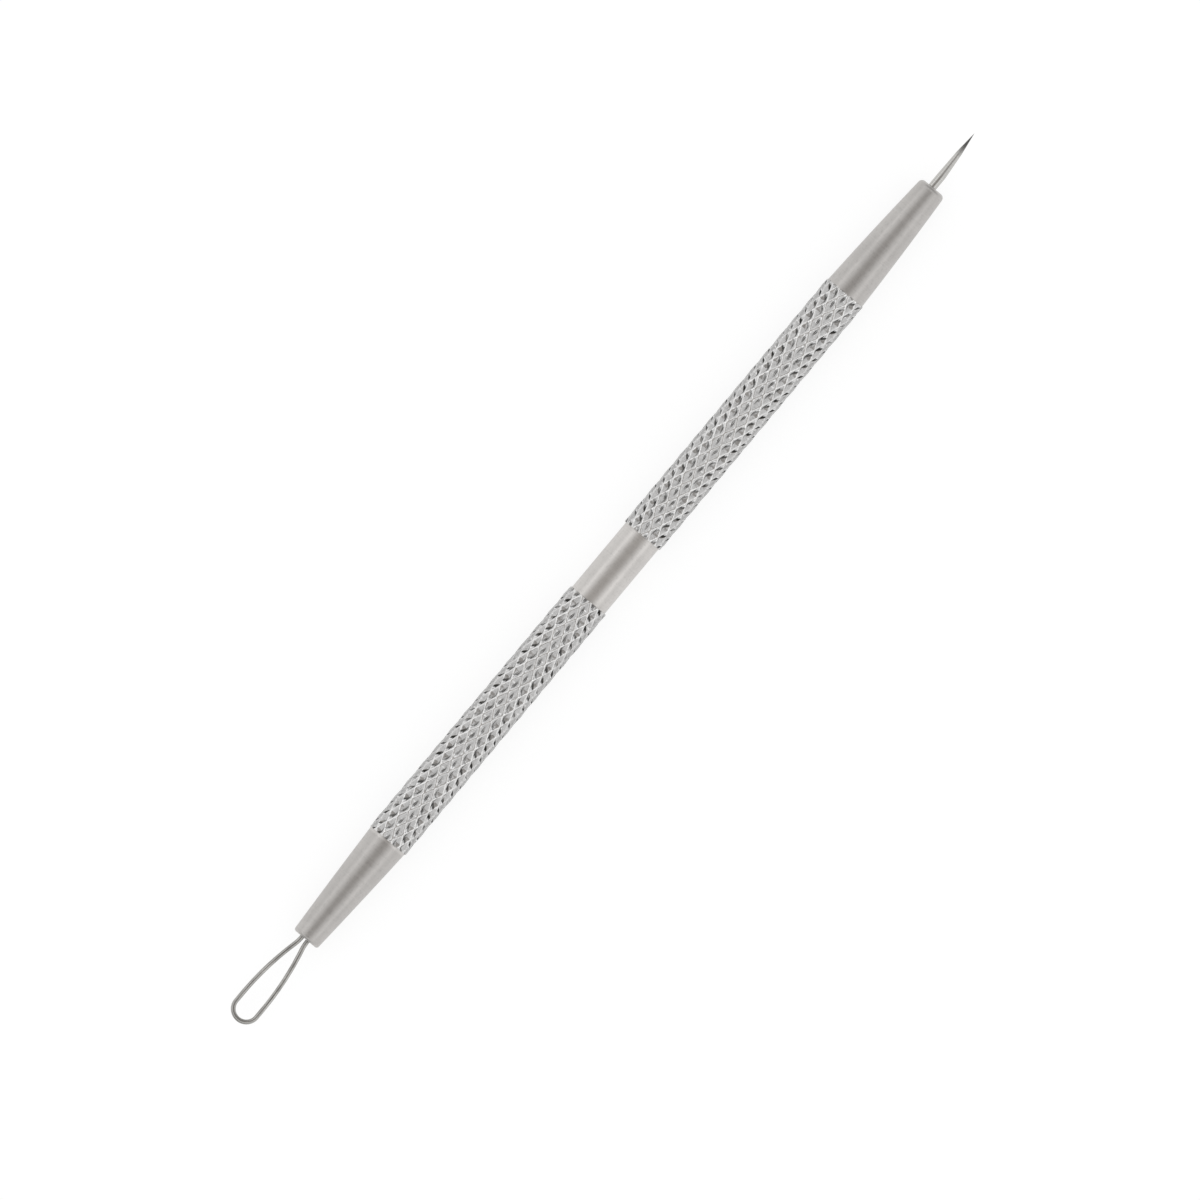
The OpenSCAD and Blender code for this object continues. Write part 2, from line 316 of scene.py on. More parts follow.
class Bench:
    """A node tree that is being filled. Every node is made by its node method."""

    def __init__(self, tree):
        self.tree = tree

    def node(self, kind, settings=None, inputs=None):
        """Adds a node, with its settings first and then its inputs' values or links."""
        made = self.tree.nodes.new(kind)
        column, row = divmod(len(self.tree.nodes), 8)
        made.location = (column * 190, -row * 170)
        for name, value in (settings or {}).items():
            setattr(made, name, value)
        for name, value in (inputs or {}).items():
            if isinstance(value, Value):
                self.tree.links.new(value.output, made.inputs[name])
            elif isinstance(value, bpy.types.NodeSocket):
                self.tree.links.new(value, made.inputs[name])
            else:
                made.inputs[name].default_value = value
        return made

    def math(self, operation, *numbers):
        made = self.node("ShaderNodeMath", {"operation": operation}, dict(enumerate(numbers)))
        return Value(self, made.outputs[0])

    def moved(self, vector, offset):
        """A vector with a fixed offset added."""
        made = self.node("ShaderNodeVectorMath", {"operation": "ADD"}, {0: vector, 1: offset})
        return made.outputs["Vector"]

    def split(self, vector):
        """The three numbers of a vector."""
        made = self.node("ShaderNodeSeparateXYZ", None, {"Vector": vector})
        return [Value(self, output) for output in made.outputs]

    def join(self, x, y, z):
        return self.node("ShaderNodeCombineXYZ", None, {"X": x, "Y": y, "Z": z}).outputs["Vector"]

    def blend(self, factor, first, second):
        """A colour between two colours."""
        made = self.node("ShaderNodeMix", {"data_type": "RGBA"}, {0: factor, 6: first, 7: second})
        return made.outputs[2]

    def shades(self, factor, three, dark, light):
        """A colour between a darker and a lighter shade of one colour."""
        return self.blend(factor, rgba(scaled(three, dark)), rgba(scaled(three, light)))

    def darkened(self, base, factor):
        """A colour brought towards black."""
        return self.blend(factor, base, (0.0, 0.0, 0.0, 1.0))

    def ease(self, value, low, high):
        """0 below low and 1 above high, with a smooth change between them."""
        made = self.node(
            "ShaderNodeMapRange",
            {"interpolation_type": "SMOOTHSTEP"},
            {"Value": value, "From Min": low, "From Max": high},
        )
        return Value(self, made.outputs["Result"])

    def noise(self, vector, scale, detail=2.0, roughness=0.5):
        """Noise from 0 to 1 in three dimensions, with its scale in waves a metre."""
        inputs = {"Vector": vector, "Scale": scale, "Detail": detail, "Roughness": roughness}
        made = self.node("ShaderNodeTexNoise", {"noise_dimensions": "3D"}, inputs)
        return Value(self, made.outputs[0])

    def streaks(self, along, scale, detail=2.0):
        """Noise from 0 to 1 along one number, with its scale in waves a metre."""
        inputs = {"W": along, "Scale": scale, "Detail": detail}
        made = self.node("ShaderNodeTexNoise", {"noise_dimensions": "1D"}, inputs)
        return Value(self, made.outputs[0])

    def bump(self, height, depth, under=None):
        """A normal from a height of 0 to 1 that stands for the given depth."""
        inputs = {"Height": height, "Distance": depth, "Strength": 1.0}
        if under is not None:
            inputs["Normal"] = under
        return self.node("ShaderNodeBump", None, inputs).outputs["Normal"]

    def mix_shaders(self, factor, first, second):
        """A shader between two shader nodes' first outputs."""
        inputs = {0: factor, 1: first.outputs[0], 2: second.outputs[0]}
        return self.node("ShaderNodeMixShader", None, inputs)

    def named(self, name):
        """A number that the mesh stores on its points."""
        made = self.node("ShaderNodeAttribute", {"attribute_name": name})
        return Value(self, made.outputs["Fac"])


def rgba(three):
    return (three[0], three[1], three[2], 1.0)


def scaled(three, factor):
    """A colour made lighter or darker."""
    return tuple(min(1.0, part * factor) for part in three)


def empty_material(name):
    """A new material without nodes, and its bench."""
    material = bpy.data.materials.new(name)
    material.use_nodes = True
    material.node_tree.nodes.clear()
    return material, Bench(material.node_tree)


def metal(name):
    """A new metal with its bench and its shader."""
    material, bench = empty_material(name)
    shader = bench.node("ShaderNodeBsdfPrincipled", None, {"Metallic": 1.0})
    bench.node("ShaderNodeOutputMaterial", None, {"Surface": shader.outputs["BSDF"]})
    return material, bench, shader


def fill(bench, shader, base, roughness, normal):
    """Links a finish's colour, roughness and normal to its shader."""
    bench.tree.links.new(base, shader.inputs["Base Color"])
    bench.tree.links.new(roughness.output, shader.inputs["Roughness"])
    bench.tree.links.new(normal, shader.inputs["Normal"])


def place_in_pit(bench, place, knurl, firsts):
    """A place on the knurling, measured from the middle of its pit.

    The first number runs along the bar, away from the band, and the second across it. Firsts holds the
    places along the bar of the first crossings of the loop's grip and of the lancet's grip.
    """
    x, y, z = bench.split(place)
    facet = pi / knurl.starts
    step = knurl.pitch / 2
    floor_r = knurl.crest_d / 2 - knurl.depth
    on_lancet_grip = bench.math("GREATER_THAN", x, BAND_X)
    first = on_lancet_grip * (firsts[1] - firsts[0]) + firsts[0]
    way = on_lancet_grip * 2.0 - 1.0
    i = bench.math("ARCTAN2", y, z - AXIS_Z) / facet - 0.5
    j = (x - first) / step + 1.0
    one_hand = bench.math("FRACT", (i + j) * 0.5) - 0.5
    other_hand = bench.math("FRACT", (i - j) * 0.5) - 0.5
    sway = bench.noise(place, MARK_STRAY, 1.0) - 0.5
    other_sway = bench.noise(bench.moved(place, (1.0, 0.0, 0.0)), MARK_STRAY, 1.0) - 0.5
    outward = way * (one_hand - other_hand) * step + sway * STRAY_ALONG
    across = (one_hand + other_hand) * (facet * floor_r) + other_sway * STRAY_ACROSS
    return outward, across


def from_oval(bench, along, across, oval_len, oval_width):
    """How far a place is from the middle of an oval, where 1 is the oval's rim."""
    along = along / (oval_len / 2)
    across = across / (oval_width / 2)
    return bench.math("SQRT", along * along + across * across)


def turned_colour(bench, finishes, place, x, lines, clouds):
    """Satin steel with turning lines, clouds and scuffs, made a little darker on the noses by painted
    shade.
    """
    scuffs = bench.noise(place, 3200.0, 3.0, 0.7)
    turned = bench.shades(lines, finishes.steel, 0.88, 1.1)
    turned = bench.blend(bench.ease(clouds, 0.35, 0.7) * 0.4, turned, rgba(scaled(finishes.steel, 0.85)))
    turned = bench.blend(bench.ease(scuffs, 0.5, 0.75) * 0.35, turned, rgba(scaled(finishes.steel, 0.6)))
    # Painted shade that darkens the noses
    on_nose = bench.ease(abs(x - BAND_X), NOSE_SHADE_START, NOSE_SHADE_END)
    return bench.darkened(turned, on_nose * finishes.painted_nose_shade)


def knurled_colour(bench, finishes, knurl, place, y, firsts):
    """Bright ridges round pits, with dark marks of painted shade at the pits' floors, painted highlights
    beside them and painted shade at the bar's sides, and how far a place is from the middle of its mark.
    """
    at_side = bench.ease(abs(y), knurl.crest_d * 0.1, knurl.crest_d * 0.36)
    far_side = bench.ease(abs(y), knurl.crest_d * 0.36, knurl.crest_d * 0.48)
    lean = bench.math("MINIMUM", bench.math("MAXIMUM", y * (4.0 / knurl.crest_d), -1.0), 1.0)
    # Noise that decides which pits get a mark of painted shade and a painted highlight
    mark_patches = bench.noise(place, MARK_PATCHES)

    outward, across = place_in_pit(bench, place, knurl, firsts)
    along_mark = outward - knurl.mark_shift
    across = across - along_mark * lean * knurl.mark_lean
    mark_width = knurl.mark_width * (1 + at_side * knurl.mark_spread)
    off_mark = from_oval(bench, along_mark, across, knurl.mark_len, mark_width)
    off_glint = from_oval(bench, along_mark - knurl.glint_shift, across, knurl.glint_len, knurl.glint_width)
    # A dark mark of painted shade at each pit's floor, fainter at the bar's top and bottom
    mark = (1 - bench.ease(off_mark, 0.75, 1.35)) * bench.ease(mark_patches, 0.28, 0.56)
    mark = mark * (1 - (1 - at_side) * knurl.mark_top_fade)
    # A spot of painted highlight beside each mark
    painted_glint = (1 - bench.ease(off_glint, 0.6, 1.4)) * bench.ease(mark_patches, 0.35, 0.6)
    specks = 1 - bench.ease(bench.noise(place, 4500.0, 3.0, 0.7), 0.3, 0.55)

    wear_and_painted_light = bench.blend(bench.ease(bench.named("pit"), 0.02, 0.3), rgba(finishes.crest), rgba(finishes.pit))
    # Painted shade at the bar's two sides
    wear_and_painted_light = bench.darkened(wear_and_painted_light, far_side * finishes.painted_side_shade)
    wear_and_painted_light = bench.blend(specks * finishes.specks, wear_and_painted_light, rgba(finishes.speck))
    wear_and_painted_light = bench.blend(painted_glint, wear_and_painted_light, rgba(finishes.painted_glint))
    return bench.blend(mark, wear_and_painted_light, rgba(finishes.mark)), off_mark


def bar_finish(finishes, knurl, firsts):
    """Satin turned steel on the plain zones with painted shade on the noses, and bright ridges round pits
    on the grips, with painted shade and painted highlights.
    """
    material, bench, shader = metal("turned_and_knurled_steel")
    place = bench.node("ShaderNodeTexCoord").outputs["Object"]
    x, y, _ = bench.split(place)
    grip = bench.named("grip")

    clouds = bench.noise(place, 260.0, 3.0)
    grain = bench.noise(place, 5200.0, 2.0)
    line_place = x + bench.noise(place, 700.0, 1.0) * (0.04 * MM)
    lines = bench.streaks(line_place, 1500.0, 1.0) * 0.4 + bench.streaks(line_place, 6500.0, 3.0) * 0.6

    turned = turned_colour(bench, finishes, place, x, lines, clouds)
    wear_and_painted_light, off_mark = knurled_colour(bench, finishes, knurl, place, y, firsts)
    base = bench.blend(grip, turned, wear_and_painted_light)

    plain_rough = 0.3 + lines * 0.08 + clouds * 0.06
    grip_rough = 0.14 + grain * 0.1
    roughness = plain_rough * (1 - grip) + grip_rough * grip

    height = lines * 0.4 * (1 - grip) + grain * grip
    normal = bench.bump(height, 0.014 * MM)
    torn = (1 - bench.ease(off_mark, 0.0, 1.6)) * grip
    normal = bench.bump(1 - torn, knurl.mark_depth, normal)
    fill(bench, shader, base, roughness, normal)
    return material


def wire_finish(finishes):
    """Drawn steel wire, with fine lines along it and a few darker patches."""
    material, bench, shader = metal("drawn_wire_steel")
    along = bench.named("along")
    section = bench.node("ShaderNodeAttribute", {"attribute_name": "section"}).outputs["Vector"]
    sx, sy, _ = bench.split(section)
    straight = bench.join(along * 0.06, sx, sy)
    lines = bench.noise(straight, 9000.0, 2.0)
    place = bench.node("ShaderNodeTexCoord").outputs["Object"]
    patches = bench.noise(place, 900.0, 3.0)
    base = bench.shades(bench.ease(lines, 0.3, 0.7), finishes.wire, 0.56, 1.05)
    base = bench.blend(bench.ease(patches, 0.5, 0.75) * 0.5, base, rgba(scaled(finishes.wire, 0.42)))
    roughness = 0.16 + lines * 0.1 + patches * 0.06
    normal = bench.bump(lines, 0.004 * MM)
    fill(bench, shader, base, roughness, normal)
    return material


def lancet_finish(finishes):
    """Ground steel, with fine grinding lines and a tip that is darker towards its point."""
    material, bench, shader = metal("ground_lancet_steel")
    place = bench.node("ShaderNodeTexCoord").outputs["Object"]
    x, _, _ = bench.split(place)
    tip = bench.named("tip")
    lines = bench.streaks(x + bench.noise(place, 900.0, 1.0) * (0.03 * MM), 9000.0, 2.0)
    grain = bench.noise(place, 7000.0, 2.0)
    base = bench.shades(lines, finishes.lancet, 0.8, 1.15)
    base = bench.blend(bench.ease(tip, 0.42, 0.75) * 0.9, base, rgba(scaled(finishes.lancet, 0.12)))
    roughness = 0.17 + lines * 0.08 + grain * 0.06
    normal = bench.bump(lines * 0.7 + grain * 0.3, 0.003 * MM)
    fill(bench, shader, base, roughness, normal)
    return material


def solder_finish(finishes):
    """Dull solder with a grainy, slightly wavy skin."""
    material, bench, shader = metal("dull_solder")
    place = bench.node("ShaderNodeTexCoord").outputs["Object"]
    waves = bench.noise(place, 2600.0, 3.0)
    grain = bench.noise(place, 14000.0, 2.0)
    base = bench.shades(waves, finishes.solder, 0.7, 1.2)
    roughness = 0.38 + grain * 0.2
    normal = bench.bump(waves * 0.8 + grain * 0.2, 0.01 * MM)
    fill(bench, shader, base, roughness, normal)
    return material


def new_piece(name, points, faces):
    """A mesh object whose place is in its mesh."""
    mesh = bpy.data.meshes.new(name)
    mesh.from_pydata(points, [], faces)
    mesh.validate()
    mesh.update()
    piece = bpy.data.objects.new(name, mesh)
    bpy.context.scene.collection.objects.link(piece)
    return piece


def store(mesh, name, numbers):
    """Stores one number on each point of a mesh."""
    attribute = mesh.attributes.new(name, "FLOAT", "POINT")
    attribute.data.foreach_set("value", numbers)


def skin(rings, slanted=()):
    """Points and faces of a closed skin over rings of equal count, ending in a point at each end.

    Between the rings whose indices are in slanted, each four-sided face is cut along the same diagonal.
    """
    count = len(rings[1])
    points = [rings[0][0]]
    for ring in rings[1:-1]:
        points.extend(ring)
    points.append(rings[-1][0])
    faces = []
    for k in range(count):
        faces.append((0, 1 + (k + 1) % count, 1 + k))
    for r in range(len(rings) - 3):
        here = 1 + r * count
        there = here + count
        for k in range(count):
            n = (k + 1) % count
            if r + 1 in slanted:
                faces.append((here + k, here + n, there + n))
                faces.append((here + k, there + n, there + k))
            else:
                faces.append((here + k, here + n, there + n, there + k))
    last = len(points) - 1
    here = last - count
    for k in range(count):
        faces.append((here + k, here + (k + 1) % count, last))
    return points, faces


def smooth(mesh):
    """Smooth shading, apart from sharp edges."""
    mesh.polygons.foreach_set("use_smooth", [True] * len(mesh.polygons))
    mesh.set_sharp_from_angle(angle=SHARP_ANGLE)


def set_inputs(modifier, values):
    """Sets a Geometry Nodes modifier's inputs by their sockets' identifiers."""
    for item in modifier.node_group.interface.items_tree:
        if item.item_type == "SOCKET" and item.in_out == "INPUT" and item.name in values:
            modifier[item.identifier] = values[item.name]


def bake_down(piece):
    """Turns what a piece's modifiers make into its plain mesh."""
    depsgraph = bpy.context.evaluated_depsgraph_get()
    made = bpy.data.meshes.new_from_object(
        piece.evaluated_get(depsgraph), preserve_all_data_layers=True, depsgraph=depsgraph
    )
    if not made.polygons:
        raise RuntimeError(f"the modifiers of {piece.name} made no faces")
    piece.modifiers.clear()
    made.name = piece.name
    piece.data = made
    return made


def finish_piece(piece, slot, *nodes):
    """Attaches a finished piece to the root body and hides the CAD parts that it stands for."""
    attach(piece, "root")
    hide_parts(*nodes)


def nose_outline(nose_len, end_d, root_d, swell, edge):
    """A nose's outline as (distance from its end face, radius), from the face to the root."""

    def radius(part):
        return (end_d + (root_d - end_d) * part) / 2 + swell * 4 * part * (1 - part)

    edge_r = radius(edge / nose_len)
    outline = []
    for i in range(EDGE_ROWS):
        a = pi / 2 * i / EDGE_ROWS
        outline.append((edge * (1 - cos(a)), edge_r - edge * (1 - sin(a))))
    for i in range(NOSE_ROWS + 1):
        part = edge / nose_len + (1 - edge / nose_len) * i / NOSE_ROWS
        outline.append((part * nose_len, radius(part)))
    return outline


def nose_rows(face_x, way, outline, bore_r, bore_len, bore_y, chamfer):
    """Rows (x, radius, y) of a bored nose, from the bottom of its bore to its root."""
    rim = bore_r + chamfer
    rows = [
        (face_x + way * bore_len, 0.0, bore_y),
        (face_x + way * bore_len, bore_r, bore_y),
        (face_x + way * chamfer, bore_r, bore_y),
        (face_x, rim, bore_y),
        (face_x, (rim + outline[0][1]) / 2, bore_y / 2),
    ]
    rows.extend((face_x + way * along, r, 0.0) for along, r in outline)
    return rows


def grip_rows(start, grip_len, phase, knurl, plain_r):
    """Rows (x, radius, turn) of one grip, which follow its ridges from its first row of crossings."""
    step = knurl.pitch / 2
    first = start + phase
    low = start + knurl.lip_len
    high = start + grip_len - knurl.lip_len
    crest_r = knurl.crest_d / 2
    rows = [(start, plain_r, -(start - first) / step), (low, crest_r, -(low - first) / step)]
    row_len = step / FINE
    row = floor((low - first) / row_len + 1.2)
    while first + row * row_len < high - 0.2 * row_len:
        rows.append((first + row * row_len, crest_r, -row / FINE))
        row += 1
    end = start + grip_len
    rows += [(high, crest_r, -(high - first) / step), (end, plain_r, -(end - first) / step)]
    return rows, first


def build_knurl_tree():
    """A tree that presses the pits between two hands of helical ridges into part of a round bar."""
    tree = bpy.data.node_groups.new("Press knurling", "GeometryNodeTree")
    face = tree.interface
    face.new_socket("Geometry", in_out="INPUT", socket_type="NodeSocketGeometry")
    distances = ("Grip start", "First crossings", "Grip end", "Lip length", "Axis height")
    distances += ("Crossing pitch", "Pit depth")
    for name in distances:
        face.new_socket(name, in_out="INPUT", socket_type="NodeSocketFloat").subtype = "DISTANCE"
    face.new_socket("Ridge starts", in_out="INPUT", socket_type="NodeSocketInt")
    for name in ("Crest width", "Unevenness", "Wobble"):
        face.new_socket(name, in_out="INPUT", socket_type="NodeSocketFloat").subtype = "FACTOR"
    face.new_socket("Material", in_out="INPUT", socket_type="NodeSocketMaterial")
    face.new_socket("Geometry", in_out="OUTPUT", socket_type="NodeSocketGeometry")

    bench = Bench(tree)
    given = bench.node("NodeGroupInput").outputs
    start = Value(bench, given["Grip start"])
    first = Value(bench, given["First crossings"])
    end = Value(bench, given["Grip end"])
    lip = Value(bench, given["Lip length"])
    axis = Value(bench, given["Axis height"])
    step = Value(bench, given["Crossing pitch"]) * 0.5
    depth = Value(bench, given["Pit depth"])
    starts = Value(bench, given["Ridge starts"])
    crest = Value(bench, given["Crest width"])
    unevenness = Value(bench, given["Unevenness"])
    wobble = Value(bench, given["Wobble"])

    place = bench.node("GeometryNodeInputPosition").outputs[0]
    x, y, z = bench.split(place)
    up = z - axis
    facet = pi / starts
    i = bench.math("ARCTAN2", y, up) / facet - 0.5
    j = (x - first) / step + 1.0
    stray = (bench.noise(place, RIDGE_STRAY, 1.0) - 0.5) * wobble
    other_stray = (bench.noise(bench.moved(place, (1.0, 0.0, 0.0)), RIDGE_STRAY, 1.0) - 0.5) * wobble
    one_hand = bench.math("FRACT", (i + j) * 0.5 + stray)
    other_hand = bench.math("FRACT", (i - j) * 0.5 + other_stray)
    # From the nearest ridge of each hand, 1 halfway between two ridges
    off_one = 1.0 - abs(one_hand * 2.0 - 1.0)
    off_other = 1.0 - abs(other_hand * 2.0 - 1.0)
    off_ridge = bench.math("MINIMUM", off_one, off_other)
    fall = ((off_ridge - crest) / (1.0 - crest)).clamped()

    lead_in = ((x - start) / lip).clamped()
    lead_out = ((end - x) / lip).clamped()
    press = lead_in * lead_out
    varied = bench.noise(place, PIT_VARIETY, 1.0) - 0.5
    pressed = depth * fall * press * (1.0 + varied * unevenness * 2.0)

    between = bench.math("FRACT", i) - 0.5
    flat = bench.math("COSINE", facet * 0.5) / bench.math("COSINE", between * facet)
    radius = bench.math("MAXIMUM", bench.math("SQRT", y * y + up * up), 1e-9)
    scale = 1.0 + press * (flat - 1.0) - pressed / radius
    moved = bench.join(x, y * scale, up * scale + axis)
    made = bench.node(
        "GeometryNodeSetPosition", None, {"Geometry": given["Geometry"], "Position": moved}
    ).outputs["Geometry"]
    for name, value in (("pit", fall * press), ("grip", press)):
        before = bench.node("GeometryNodeInputNamedAttribute", {"data_type": "FLOAT"}, {"Name": name})
        value = bench.math("MAXIMUM", value, Value(bench, before.outputs[0]))
        made = bench.node(
            "GeometryNodeStoreNamedAttribute",
            {"data_type": "FLOAT", "domain": "POINT"},
            {"Geometry": made, "Name": name, "Value": value},
        ).outputs["Geometry"]
    made = bench.node("GeometryNodeRealizeInstances", None, {"Geometry": made}).outputs["Geometry"]
    made = bench.node(
        "GeometryNodeSetMaterial", None, {"Geometry": made, "Material": given["Material"]}
    ).outputs["Geometry"]
    bench.node("NodeGroupOutput", None, {"Geometry": made})
    return tree


def both_noses(bar, loop, lancet, solder):
    """Rows (x, radius, y) of the two bored noses, each from the bottom of its bore to its root."""
    loop_outline = nose_outline(
        bar.loop_nose_len, bar.loop_nose_d, bar.root_d, bar.loop_nose_swell, bar.loop_nose_edge
    )
    loop_bore_r = loop.leg_gap / 2 + loop.wire_d + solder.film
    loop_bore_len = loop.tail_len + solder.under
    lancet_outline = nose_outline(
        bar.lancet_nose_len, bar.lancet_nose_d, bar.root_d, bar.lancet_nose_swell, bar.lancet_nose_edge
    )
    lancet_bore_r = lancet.shank_d / 2 + solder.film
    lancet_bore_len = lancet.tail_len + solder.under
    return (
        nose_rows(BAR_LOW.x, 1, loop_outline, loop_bore_r, loop_bore_len, loop.offset, bar.bore_chamfer),
        nose_rows(
            BAR_HIGH.x, -1, lancet_outline, lancet_bore_r, lancet_bore_len, lancet.offset, bar.bore_chamfer
        ),
    )


class EXTRACTOR_OT_bar(bpy.types.Operator):
    """Turn the bar, bore its noses and press the knurling into its two grips"""

    bl_idname = "extractor.bar"
    bl_label = "Knurled Bar"

    def execute(self, context):
        scene = context.scene
        bar = scene.extractor_bar
        knurl = scene.extractor_knurl

        loop_grip = BAR_LOW.x + bar.loop_nose_len
        band = loop_grip + bar.loop_grip_len
        lancet_grip = band + bar.band_len
        lancet_grip_end = lancet_grip + bar.lancet_grip_len
        plain_r = (knurl.crest_d + max(bar.band_d, bar.root_d)) / 4

        loop_nose, lancet_nose = both_noses(
            bar, scene.extractor_loop, scene.extractor_lancet, scene.extractor_solder
        )
        first_grip, loop_first = grip_rows(loop_grip, bar.loop_grip_len, knurl.loop_first, knurl, plain_r)
        second_grip, lancet_first = grip_rows(
            lancet_grip, bar.lancet_grip_len, knurl.lancet_first, knurl, plain_r
        )
        band_rows = [(band + bar.band_len * i / BAND_ROWS, bar.band_d / 2) for i in range(BAND_ROWS + 1)]

        # Rows (x, radius, turn, y). The plain zones take on the turn of the grip's row next to them
        rows = [(x, r, first_grip[0][2], y) for x, r, y in loop_nose]
        slanted = set(range(len(rows), len(rows) + len(first_grip) - 1))
        rows += [(x, r, turn, 0.0) for x, r, turn in first_grip]
        band_turn = first_grip[-1][2]
        rows += [(x, r, band_turn, 0.0) for x, r in band_rows]
        slanted |= set(range(len(rows), len(rows) + len(second_grip) - 1))
        whole_facets = round(band_turn - second_grip[0][2])
        rows += [(x, r, turn + whole_facets, 0.0) for x, r, turn in second_grip]
        rows += [(x, r, second_grip[-1][2] + whole_facets, y) for x, r, y in reversed(lancet_nose)]

        columns = knurl.starts * FINE
        facet = pi / knurl.starts
        rings = []
        for x, r, turn, y in rows:
            ring = []
            for k in range(columns if r else 1):
                a = (2.0 * k / FINE + turn + 0.5) * facet
                ring.append((x, y + r * sin(a), AXIS_Z + r * cos(a)))
            rings.append(ring)
        points, faces = skin(rings, slanted)
        piece = new_piece("knurled_bar", points, faces)
        smooth(piece.data)

        settings = {
            "Lip length": knurl.lip_len,
            "Axis height": AXIS_Z,
            "Crossing pitch": knurl.pitch,
            "Pit depth": knurl.depth,
            "Ridge starts": knurl.starts,
            "Crest width": knurl.crest_share,
            "Unevenness": knurl.unevenness,
            "Wobble": knurl.wobble,
            "Material": bar_finish(scene.extractor_finishes, knurl, (loop_first, lancet_first)),
        }
        tree = build_knurl_tree()
        for grip, grip_start, first, grip_end in (
            ("loop grip", loop_grip, loop_first, band),
            ("lancet grip", lancet_grip, lancet_first, lancet_grip_end),
        ):
            modifier = piece.modifiers.new(grip, "NODES")
            modifier.node_group = tree
            set_inputs(modifier, settings)
            set_inputs(modifier, {"Grip start": grip_start, "First crossings": first, "Grip end": grip_end})
        bake_down(piece)
        finish_piece(piece, "handle_steel", "handle")
        return {"FINISHED"}


def loop_path(loop):
    """The loop's centreline as (u outward from the face, y across), from one tail's end to the other's."""
    leg_y = (loop.leg_gap + loop.wire_d) / 2
    wide_y = (loop.width - loop.wire_d) / 2
    end_u = loop.reach - loop.wire_d / 2 - wide_y
    wide_u = end_u - loop.parallel_len
    leg_angle = 2 * atan((wide_y - leg_y) / wide_u)
    leg_r = wide_u / sin(leg_angle) - loop.mouth_bend_r
    upper = [(-loop.tail_len, leg_y), (-loop.tail_len / 2, leg_y)]
    for i in range(MOUTH_STEPS):
        a = leg_angle * i / MOUTH_STEPS
        upper.append((loop.mouth_bend_r * sin(a), leg_y + loop.mouth_bend_r * (1 - cos(a))))
    for i in range(LEG_STEPS + 1):
        a = leg_angle * (1 - i / LEG_STEPS)
        upper.append((wide_u - leg_r * sin(a), wide_y - leg_r * (1 - cos(a))))
    for i in range(END_STEPS):
        a = pi / 2 * i / END_STEPS
        upper.append((end_u + wide_y * sin(a), wide_y * cos(a)))
    return upper + [(end_u + wide_y, 0.0)] + [(u, -y) for u, y in reversed(upper)]


def build_wire_tree():
    """A tree that draws a round wire along a line of edges, and stores each point's place on the wire."""
    tree = bpy.data.node_groups.new("Draw wire", "GeometryNodeTree")
    face = tree.interface
    face.new_socket("Geometry", in_out="INPUT", socket_type="NodeSocketGeometry")
    face.new_socket("Wire diameter", in_out="INPUT", socket_type="NodeSocketFloat").subtype = "DISTANCE"
    face.new_socket("Sides", in_out="INPUT", socket_type="NodeSocketInt")
    face.new_socket("Material", in_out="INPUT", socket_type="NodeSocketMaterial")
    face.new_socket("Geometry", in_out="OUTPUT", socket_type="NodeSocketGeometry")

    bench = Bench(tree)
    given = bench.node("NodeGroupInput").outputs
    path = bench.node("GeometryNodeMeshToCurve", None, {"Mesh": given["Geometry"]}).outputs["Curve"]
    path = bench.node("GeometryNodeSetCurveNormal", {"mode": "Z_UP"}, {"Curve": path}).outputs["Curve"]
    along = bench.node("GeometryNodeSplineParameter").outputs["Length"]
    path = bench.node(
        "GeometryNodeStoreNamedAttribute",
        {"data_type": "FLOAT", "domain": "POINT"},
        {"Geometry": path, "Name": "along", "Value": along},
    ).outputs["Geometry"]
    radius = Value(bench, given["Wire diameter"]) * 0.5
    round_section = bench.node(
        "GeometryNodeCurvePrimitiveCircle",
        {"mode": "RADIUS"},
        {"Resolution": given["Sides"], "Radius": radius},
    ).outputs["Curve"]
    at = bench.node("GeometryNodeInputPosition").outputs[0]
    round_section = bench.node(
        "GeometryNodeStoreNamedAttribute",
        {"data_type": "FLOAT_VECTOR", "domain": "POINT"},
        {"Geometry": round_section, "Name": "section", "Value": at},
    ).outputs["Geometry"]
    made = bench.node(
        "GeometryNodeCurveToMesh",
        None,
        {"Curve": path, "Profile Curve": round_section, "Fill Caps": True},
    ).outputs["Mesh"]
    made = bench.node("GeometryNodeRealizeInstances", None, {"Geometry": made}).outputs["Geometry"]
    made = bench.node(
        "GeometryNodeSetMaterial", None, {"Geometry": made, "Material": given["Material"]}
    ).outputs["Geometry"]
    bench.node("NodeGroupOutput", None, {"Geometry": made})
    return tree


class EXTRACTOR_OT_wire_loop(bpy.types.Operator):
    """Bend the wire loop"""

    bl_idname = "extractor.wire_loop"
    bl_label = "Wire Loop"

    def execute(self, context):
        scene = context.scene
        loop = scene.extractor_loop
        points = [(BAR_LOW.x - u, loop.offset + y, AXIS_Z) for u, y in loop_path(loop)]
        mesh = bpy.data.meshes.new("bent_wire")
        mesh.from_pydata(points, [(i, i + 1) for i in range(len(points) - 1)], [])
        piece = bpy.data.objects.new("bent_wire", mesh)
        scene.collection.objects.link(piece)
        modifier = piece.modifiers.new("draw", "NODES")
        modifier.node_group = build_wire_tree()
        set_inputs(
            modifier,
            {
                "Wire diameter": loop.wire_d,
                "Sides": WIRE_SIDES,
                "Material": wire_finish(scene.extractor_finishes),
            },
        )
        made = bake_down(piece)
        smooth(made)
        finish_piece(piece, "wire_steel", "wire_loop")
        return {"FINISHED"}


